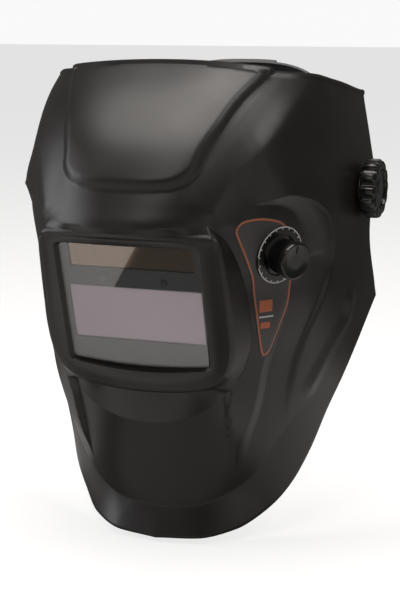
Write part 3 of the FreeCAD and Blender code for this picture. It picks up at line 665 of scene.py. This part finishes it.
# ---------------------------------------------------------------- the surround, ring by ring inside the hole
def to_visor(points):
    gap = np.asarray(points, float) - VISOR
    return stack(gap[..., 0], gap @ UP, gap @ OUT)


def halves(brow, cheek, apron):
    """A closed loop from the tables of its half: one place for each vertex of the hole's outline."""
    lines = []
    for table, count in ((brow, HALF_HOLE), (cheek, HOLE_LOW - HOLE_TOP), (apron, HALF_HOLE)):
        lines.append(spline(table, count + 1))
    half = np.vstack([lines[0][:-1], lines[1][:-1], lines[2]])
    return np.vstack([half[:-1], (half * np.array([-1, 1, 1]))[::-1][:-1]])


def lifted(table, depth):
    return [(x, v, depth(x) if callable(depth) else depth) for x, v in table]


HALF_OPENING = 49
POCKET_HALF = (56, 46)
PLATE_BACK, POCKET_BACK = -3.6, -15.6


def plate_depth(x):
    """How far the front plate stands out near its opening."""
    return 0.6 - 1.4 * (x / HALF_OPENING) ** 2


STRIP = ([(0, 53.2, 6.4), (20, 53, 5.4), (40, 52.3, 1.2), (58.5, 50.2, -5.4)],
         [(58.5, 50.2, -5.4), (61.6, 42, -6.2), (63.2, 20, -6.4), (64.3, -6, -6.8), (64.2, -28, -7),
          (61, -41, -6.6), (57.5, -47, -5.8)],
         [(57.5, -47, -5.8), (50, -53.5, -5), (36, -57.6, -3.6), (18, -59.6, -2.6), (0, -60.2, -2.2)])
RIM = ([(0, 48, 3.2), (20, 48, 2.6), (40, 47.9, 0.6), (53, 47.7, -1.6), (57.3, 46.6, -2.4)],
       [(57.3, 46.6, -2.4), (58.1, 29, -2.6), (59.2, 2.5, -2.8), (60, -21, -3), (59, -33, -2.8),
        (55.5, -42.5, -2)],
       [(55.5, -42.5, -2), (47, -49.3, -1.2), (34, -52.6, -0.2), (18, -54, 0.8), (0, -54.4, 1.2)])
HOLE = ([(0, 43), (20, 43), (40, 43), (45.5, 42.8), (47.9, 41.9)],
        [(47.9, 41.9), (48.9, 39.6), (49, 36), (49, 0), (49, -33), (48.8, -36.6), (47.8, -39.2)],
        [(47.8, -39.2), (45.4, -40.5), (40, -41.3), (20, -43.4), (0, -44.3)])
POCKET = ([(0, 46), (30, 46), (53, 46), (55.1, 45.1)],
          [(55.1, 45.1), (56, 43), (56, 0), (56, -43), (55.1, -45.1)],
          [(55.1, -45.1), (53, -46), (30, -46), (0, -46)])


def hole_cells():
    """Grid places round the hole's outline, from the middle of the brow, the wearer's left side first."""
    cells = [(HOLE_TOP, i) for i in range(MID, RIGHT)] + [(j, RIGHT) for j in range(HOLE_TOP, HOLE_LOW)]
    cells += [(HOLE_LOW, i) for i in range(RIGHT, LEFT, -1)]
    cells += [(j, LEFT) for j in range(HOLE_LOW, HOLE_TOP, -1)]
    return cells + [(HOLE_TOP, i) for i in range(LEFT, MID)]


def surround():
    """The visor frame's rings, from the hole's outline to the back of the filter's pocket."""
    edge = to_visor(np.array([skin[cell] for cell in hole_cells()]))
    strip, rim = halves(*STRIP), halves(*RIM)
    hole = halves(*(lifted(table, plate_depth) for table in HOLE))
    brow = ease(edge[:, 1:2], 50, 56)
    strip = strip * (1 - brow) + (edge + rim) / 2 * brow
    way = strip - edge
    length = np.linalg.norm(way, axis=1, keepdims=True)
    way = way / np.maximum(length, 1e-6)
    crevice = 0.25 * (1 - ease(edge[:, 1:2], 50, 57)) * ease(edge[:, 1:2], -60, -30)
    rings = [edge + way * 0.25 - stack(0, 0, 0.25) * (crevice > 0.05)]
    rings.append(edge + way * 0.9 - crevice * np.array([0, 0, 1.0]))
    rings.append(edge + way * 1.5 - crevice * np.array([0, 0, 0.9]))
    start = edge + way * 2.1
    for share in (0, 0.25, 0.5, 0.75, 0.93):
        rings.append(start + (strip - start) * share)
    rings.append(strip)
    for share in (0.12, 0.35, 0.6, 0.85):
        bulge = 1.2 * math.sin(math.pi * share)
        rings.append(strip + (rim - strip) * share + bulge * np.array([0, 0, 1.0]))
    rings.append(rim)
    for share in (0.06, 0.3, 0.6, 0.88):
        bend = 0.5 * math.sin(math.pi * share)
        rings.append(rim + (hole - rim) * share + bend * np.array([0, 0, 1.0]))
    rings.append(hole)
    rings.append(hole * np.array([0.992, 0.992, 1]) - np.array([0, 0, 0.5]))
    deep = hole * np.array([46.8 / HALF_OPENING, 1, 0])
    deep[:, 1] -= 1.6 * ease(hole[:, 1], 36, 43)
    deep[:, 1] += 0.3 * ease(-hole[:, 1], 34, 40)
    rings.append(deep + np.array([0, 0, PLATE_BACK]))
    for grow, depth in ((0, PLATE_BACK), (0, POCKET_BACK), (1.6, POCKET_BACK)):
        pocket = halves(*(lifted(table, depth) for table in POCKET))
        rings.append(pocket * np.array([1 + grow / POCKET_HALF[0], 1 + grow / POCKET_HALF[1], 1]))
    return [in_visor(ring) for ring in rings]


# ---------------------------------------------------------------- meshes
class Solid:
    """Vertices in millimetres and faces, gathered into one piece."""

    def __init__(self):
        self.points, self.faces, self.paints = [], [], []

    def add(self, points):
        first = len(self.points)
        self.points.extend(map(tuple, np.asarray(points, float).reshape(-1, 3)))
        return list(range(first, len(self.points)))

    def face(self, corners, paint=0):
        self.faces.append(tuple(corners))
        self.paints.append(paint)

    def bridge(self, first, second, paint=0):
        """Quads between two closed loops of as many vertices."""
        for k in range(len(first)):
            n = (k + 1) % len(first)
            self.face((first[k], first[n], second[n], second[k]), paint)

    def zip(self, fine, coarse):
        """Faces between a closed loop and one with a quarter of its vertices."""
        for k in range(len(coarse)):
            run = [fine[(COARSE * k + m) % len(fine)] for m in range(COARSE + 1)]
            self.face((*run, coarse[(k + 1) % len(coarse)], coarse[k]))

    def piece(self, name, materials, body, slot, angle=40):
        mesh = bpy.data.meshes.new(name)
        mesh.from_pydata([tuple(c * MM for c in p) for p in self.points], [], self.faces)
        mesh.polygons.foreach_set("material_index", self.paints)
        for material in materials:
            mesh.materials.append(material)
        shaped = bmesh.new()
        shaped.from_mesh(mesh)
        bmesh.ops.recalc_face_normals(shaped, faces=shaped.faces)
        shaped.to_mesh(mesh)
        shaped.free()
        mesh.polygons.foreach_set("use_smooth", [True] * len(mesh.polygons))
        mesh.set_sharp_from_angle(angle=math.radians(angle))
        thing = bpy.data.objects.new(name, mesh)
        scene.collection.objects.link(thing)
        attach(thing, body)
        return thing


def border_cells(step):
    """Grid places round the outer border, step by step, from the rim's right end."""
    cells = [(0, i) for i in range(0, COLS, step)] + [(j, COLS) for j in range(0, ROWS, step)]
    return cells + [(ROWS, i) for i in range(COLS, 0, -step)] + [(j, 0) for j in range(ROWS, 0, -step)]


def lip_rings():
    """The rounded outer edge: rings that turn from the skin to the lining."""
    cells = border_cells(1)
    outside = np.array([skin[cell] for cell in cells])
    inside = np.array([lining[cell] for cell in cells])
    normal = outside - inside
    thick = np.linalg.norm(normal, axis=1, keepdims=True)
    normal /= thick
    along = np.roll(outside, -1, axis=0) - np.roll(outside, 1, axis=0)
    away = np.cross(along, normal)
    away /= np.maximum(np.linalg.norm(away, axis=1, keepdims=True), 1e-9)
    middle = (outside + inside) / 2
    toward = np.sign((away * (outside - np.array([0, -60, -70]))).sum(1).mean())
    rings = []
    for turn in (45, 90, 135):
        a = math.radians(turn)
        rings.append(middle + thick / 2 * (normal * math.cos(a) + away * toward * math.sin(a)))
    return rings


def helmet_shell():
    solid = Solid()
    outer_index = np.full(base.shape[:2], -1)
    for j in range(ROWS + 1):
        for i in range(COLS + 1):
            if not (HOLE_TOP < j < HOLE_LOW and LEFT < i < RIGHT):
                outer_index[j, i] = solid.add(skin[j, i])[0]
    inner_index = {}
    for j in range(0, ROWS + 1, COARSE):
        for i in range(0, COLS + 1, COARSE):
            if not (HOLE_TOP < j < HOLE_LOW and LEFT < i < RIGHT):
                inner_index[j, i] = solid.add(lining[j, i])[0]
    for j in range(ROWS):
        for i in range(COLS):
            if not (HOLE_TOP <= j < HOLE_LOW and LEFT <= i < RIGHT):
                corners = ((j, i), (j, i + 1), (j + 1, i + 1), (j + 1, i))
                solid.face(int(outer_index[corner]) for corner in corners)
    for j in range(0, ROWS, COARSE):
        for i in range(0, COLS, COARSE):
            if not (HOLE_TOP <= j < HOLE_LOW and LEFT <= i < RIGHT):
                ahead, down = i + COARSE, j + COARSE
                solid.face(inner_index[corner] for corner in ((j, i), (down, i), (down, ahead), (j, ahead)))

    loop = [int(outer_index[cell]) for cell in border_cells(1)]
    for ring in lip_rings():
        fresh = solid.add(ring)
        solid.bridge(loop, fresh)
        loop = fresh
    solid.zip(loop, [inner_index[cell] for cell in border_cells(COARSE)])

    loop = [int(outer_index[cell]) for cell in hole_cells()]
    for ring in surround():
        fresh = solid.add(ring)
        solid.bridge(loop, fresh)
        loop = fresh
    solid.zip(loop, [inner_index[cell] for cell in hole_cells()[::COARSE]])
    piece = solid.piece("helmet_skin", [SHELL], "shell", "shell_plastic")
    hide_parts("helmet_shell")
    return piece


shell_piece = helmet_shell()


# ---------------------------------------------------------------- pieces turned about a line
def across(axis):
    """Two unit vectors square to the axis and to each other, the first as level as it can be."""
    axis = np.asarray(axis, float)
    first = np.cross([0, 0, 1.0], axis)
    if np.linalg.norm(first) < 1e-6:
        first = np.array([1.0, 0, 0])
    first /= np.linalg.norm(first)
    return first, np.cross(axis, first)


def turned(solid, centre, axis, profile, count, wave=None, paint=None):
    """A closed turned form; profile rows are (height, radius, share of the wave)."""
    axis = np.asarray(axis, float) / np.linalg.norm(axis)
    e, f = across(axis)
    turns = np.linspace(0, 2 * math.pi, count, endpoint=False)
    shape = wave(turns) if wave else np.zeros(count)
    loops = []
    for high, radius, share in profile:
        reach = (radius + shape * share)[:, None]
        loops.append(solid.add(np.asarray(centre) + axis * high
                               + reach * (np.cos(turns)[:, None] * e + np.sin(turns)[:, None] * f)))
    for row, (first, second) in enumerate(zip(loops, loops[1:])):
        for k in range(count):
            n = (k + 1) % count
            solid.face((first[k], first[n], second[n], second[k]), paint(row, k) if paint else 0)
    solid.face(loops[0][::-1])
    solid.face(loops[-1])


def joint(name):
    return next(j for j in frame["joints"] if j["name"] == name)


def extent(node, centre, axis):
    """Lowest and highest place of a CAD node along a line, and its greatest radius, in millimetres."""
    spots = np.array([v.co for v in frame["nodes"][node].data.vertices], float) / MM - centre
    high = spots @ axis
    return high.min(), high.max(), np.linalg.norm(spots - high[:, None] * axis, axis=1).max()


# Pale print for the ticks and the label's rule; on the shade ring's outer flat it also paints a highlight.
PRINT_AND_PAINTED_HIGHLIGHT = moulded("pale_print_and_painted_highlight", (0.52, 0.52, 0.50), 0.5, 0.06)
ORANGE = moulded("orange_print", (0.43, 0.115, 0.045), 0.45, 0.08)


def shade_control():
    turn = joint("shade_turn")
    centre, axis = np.array(turn["pos_m"]) / MM, np.array(turn["axis"], float)
    low, high, radius = extent("shade_scale_ring", centre, axis)
    ring = Solid()
    top = high + 0.2
    rows = [(low, 12.8, 0), (top - 1.6, 12.6, 0), (top - 0.5, 12.9, 0), (top, 13.5, 0), (top, 14.6, 0),
            (top - 0.05, 16.6, 0), (top - 0.05, 17.7, 0), (top - 0.3, 18.5, 0), (top - 1.2, radius, 0),
            (low, radius, 0)]

    # Row 5 holds the printed ticks. Row 6 is a pale arc round the ring's outer flat, broken in two places: a
    # painted highlight of the bevel, not print.
    def ticks_and_painted_highlight_arc(row, k):
        return int(row == 5 and k % 12 < 2 or row == 6 and k % 120 > 14)

    turned(ring, centre, axis, rows, 240, paint=ticks_and_painted_highlight_arc)
    piece = ring.piece("shade_ring", [RING, PRINT_AND_PAINTED_HIGHLIGHT], "shell", "scale_ring", 32)
    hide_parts("shade_scale_ring")

    base, tip, _ = extent("shade_knob", centre, axis)
    ribs = 54
    rows = [(base, 10.2, 0), (base + 0.5, 10.6, 0.3), (base + 1.2, 10.7, 1)]
    rows += [(tip - 5.6, 10.7, 1), (tip - 4.8, 11.0, 0.3), (tip - 4.3, 11.7, 0), (tip - 1.2, 11.9, 0)]
    rows += [(tip - 0.4, 11.5, 0), (tip, 10.7, 0), (tip - 0.1, 9.8, 0), (tip - 0.35, 9.3, 0)]
    rows += [(tip - 0.35, 4, 0), (tip - 0.35, 0.3, 0)]
    knob = Solid()
    turned(knob, centre, axis, rows, ribs * 6, wave=lambda t: 0.32 * np.cos(ribs * t))
    e, f = across(axis)
    mark = [(-0.55, 5.2), (0.55, 5.2), (0.55, 9.6), (-0.55, 9.6)]
    floor_, lid = [], []
    for a, b in mark:
        spot = centre + e * a + f * b
        floor_.append(knob.add(spot + axis * (tip - 0.9))[0])
        lid.append(knob.add(spot + axis * (tip + 0.05))[0])
    knob.face(floor_[::-1])
    knob.face(lid)
    knob.bridge(floor_, lid)
    piece = knob.piece("shade_control_knob", [KNOB], "shade_control", "knob_plastic", 32)
    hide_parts("shade_knob")


shade_control()


LOBES, LOBE_DEPTH = 12, 1.3


def lobes(turns):
    """Flat-topped lobes with rounded gaps between them."""
    return LOBE_DEPTH * np.clip(np.cos(LOBES * turns) * 1.7 + 0.35, -1, 1)


def tension_knobs():
    for side, name in ((1, "left"), (-1, "right")):
        turn = joint("tension_turn_" + name)
        axis = np.array([float(side), 0, 0])
        centre = np.array([0.0, turn["pos_m"][1] / MM, turn["pos_m"][2] / MM])
        low, high, radius = extent("tension_knob_" + name, centre, axis)
        body = radius - LOBE_DEPTH
        rows = [(low, body - 1.4, 0.3), (low + 0.8, body - 0.3, 0.8), (low + 1.8, body, 1)]
        rows += [(high - 3.0, body, 1)]
        rows += [(high - 1.4, body - 0.35, 0.95), (high - 0.5, body - 1.2, 0.7), (high, body - 2.6, 0.35)]
        rows += [(high, body - 4.4, 0), (high - 0.3, body - 4.9, 0), (high - 1.5, body - 5.2, 0)]
        rows += [(high - 1.5, 6.8, 0), (high - 1.3, 6.5, 0), (high - 0.9, 6.2, 0), (high - 0.8, 5.2, 0)]
        rows += [(high - 0.8, 0.3, 0)]
        knob = Solid()
        turned(knob, centre, axis, rows, 288, wave=lobes)
        piece = knob.piece("tension_grip_" + name, [KNOB], "tension_" + name, "knob_plastic", 32)
        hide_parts("tension_knob_" + name)


tension_knobs()


# ---------------------------------------------------------------- label on the cheek
LABEL = [(66, -126, -15), (69, -124, -10), (73, -118, -8), (79, -109, -8), (86, -98, -11), (89, -90, -17),
         (90, -85, -25), (88, -81, -44), (86, -81, -64), (83, -84, -75), (76, -88, -91), (72, -93, -98),
         (70, -96, -95), (70, -101, -81), (70, -106, -61), (70, -109, -47), (69, -116, -34), (67, -123, -22)]
LABEL_OUT = np.array(joint("shade_turn")["axis"], float)
LABEL_CENTRE = np.mean(LABEL, axis=0)
LABEL_ACROSS, LABEL_UP = across(LABEL_OUT)
shell_tree = BVHTree.FromPolygons([v.co.copy() for v in shell_piece.data.vertices],
                                  [tuple(p.vertices) for p in shell_piece.data.polygons])


FILM_LIFT, PRINT_LIFT, FILM_ROOT = 0.3, 0.42, -0.6


def stuck_on(flat, lift):
    """Places on the skin under points of the label's plane, lifted off it."""
    points = []
    for a, b in flat:
        start = LABEL_CENTRE + LABEL_OUT * 60 + LABEL_ACROSS * a + LABEL_UP * b
        hit, normal, _, _ = shell_tree.ray_cast(Vector(start * MM), Vector(-LABEL_OUT))
        if normal.dot(Vector(LABEL_OUT)) < 0:
            normal = -normal
        points.append(np.array(hit) / MM + np.array(normal) * lift)
    return np.array(points)


def inset(flat, distance):
    """A closed outline moved inwards."""
    ahead = np.roll(flat, -1, axis=0) - np.roll(flat, 1, axis=0)
    ahead /= np.linalg.norm(ahead, axis=1, keepdims=True)
    inward = np.stack([-ahead[:, 1], ahead[:, 0]], 1)
    following = np.roll(flat, -1, axis=0)
    turn = np.sign((following[:, 1] * flat[:, 0] - flat[:, 1] * following[:, 0]).sum())
    return flat + inward * turn * distance


def film(solid, rings, paints, lift):
    """A thin closed film: its top rings shrink to a point, and its underside follows them inside the skin."""
    tops = [solid.add(stuck_on(ring, lift)) for ring in rings]
    unders = [solid.add(stuck_on(ring, FILM_ROOT)) for ring in rings]
    for k, paint in enumerate(paints):
        solid.bridge(tops[k], tops[k + 1], paint)
        solid.bridge(unders[k + 1], unders[k])
    solid.bridge(unders[0], tops[0])
    solid.face(tops[-1])
    solid.face(unders[-1][::-1])


def cheek_label():
    gap = np.array(LABEL, float) - LABEL_CENTRE
    outline = spline(np.stack([gap @ LABEL_ACROSS, gap @ LABEL_UP], 1), 221, closed=True)[:-1]
    rings = [outline, inset(outline, 0.5), inset(outline, 0.6), inset(outline, 1.7), inset(outline, 1.8)]
    paints = [0, 0, 1, 0]
    core = rings[-1].mean(axis=0)
    for share in np.linspace(0.92, 0.02, 20):
        rings.append(core + (rings[4] - core) * share)
        paints.append(0)
    solid = Solid()
    film(solid, rings, paints, FILM_LIFT)
    piece = solid.piece("cheek_label", [FILM, ORANGE], "shell", "label_film")
    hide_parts("side_label")


def patch(name, corners, material):
    """A small printed shape on the label, from its corners in the label's plane."""
    shape = even(np.array(corners + corners[:1], float), 61)[:-1]
    core = shape.mean(axis=0)
    rings = [core + (shape - core) * share for share in (1, 0.8, 0.5, 0.1)]
    solid = Solid()
    film(solid, rings, [0] * 3, PRINT_LIFT)
    solid.piece(name, [material], "shell", "label_film")


cheek_label()
patch("label_bar", [(-2.4, -24), (8, -24), (8, -16.5), (-2.4, -16.5)], ORANGE)
patch("label_rule", [(-2.4, -27.6), (9, -27.6), (9, -26.6), (-2.4, -26.6)], PRINT_AND_PAINTED_HIGHLIGHT)
patch("label_tag", [(-0.8, -34.6), (6.4, -34.6), (6.4, -30.6), (-0.8, -30.6)], ORANGE)


# ---------------------------------------------------------------- soft pieces and the band's rear tails
def copy_of(node, name):
    source = frame["nodes"][node]
    thing = bpy.data.objects.new(name, source.data.copy())
    scene.collection.objects.link(thing)
    thing.data.materials.clear()
    return thing


def applied(thing):
    """The object's mesh with its modifiers taken in."""
    bpy.context.view_layer.update()
    mesh = bpy.data.meshes.new_from_object(thing.evaluated_get(bpy.context.evaluated_depsgraph_get()))
    thing.modifiers.clear()
    thing.data = mesh
    return thing


VOXEL = 0.004
PRESSURE = 4
CLOTH_STEPS = 15


def cushion(node, name, body, cap):
    """Foam in a fabric cover: the CAD solid remeshed, blown up a little as cloth, and smoothed."""
    thing = copy_of(node, name)
    remesh = thing.modifiers.new("remesh", "REMESH")
    remesh.mode = "VOXEL"
    remesh.voxel_size = VOXEL
    applied(thing)
    rest = np.array([v.co for v in thing.data.vertices])
    normals = np.array([v.normal for v in thing.data.vertices])
    start = rest - normals * cap * 0.5
    thing.data.vertices.foreach_set("co", start.ravel())
    cloth = thing.modifiers.new("cloth", "CLOTH")
    cloth.settings.use_pressure = True
    cloth.settings.uniform_pressure_force = PRESSURE
    cloth.settings.effector_weights.gravity = 0
    for step in range(1, CLOTH_STEPS + 1):
        scene.frame_set(step)
    applied(thing)
    scene.frame_set(1)
    moved = np.array([v.co for v in thing.data.vertices])
    way = moved - start
    length = np.linalg.norm(way, axis=1, keepdims=True)
    moved = start + way * np.minimum(1, cap / np.maximum(length, 1e-9))
    thing.data.vertices.foreach_set("co", moved.ravel())
    smoother = thing.modifiers.new("smooth", "SMOOTH")
    smoother.iterations = 3
    subdivide = thing.modifiers.new("subdivide", "SUBSURF")
    subdivide.levels = subdivide.render_levels = 1
    applied(thing)
    thing.data.polygons.foreach_set("use_smooth", [True] * len(thing.data.polygons))
    thing.data.materials.append(FABRIC)
    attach(thing, body)
    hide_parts(node)


cushion("sweatband", "brow_pad", "headgear", 0.002)
cushion("nape_pad", "nape_cushion", "rear_adjuster", 0.003)


def tails():
    """The band's rear tails: copies of the CAD pieces in the headgear plastic, smooth shaded."""
    for side in ("left", "right"):
        thing = copy_of("band_tail_" + side, "rear_tail_" + side)
        thing.data.materials.append(HEADGEAR)
        thing.data.polygons.foreach_set("use_smooth", [True] * len(thing.data.polygons))
        thing.data.set_sharp_from_angle(angle=math.radians(35))
        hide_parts("band_tail_" + side)
        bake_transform(thing)


tails()
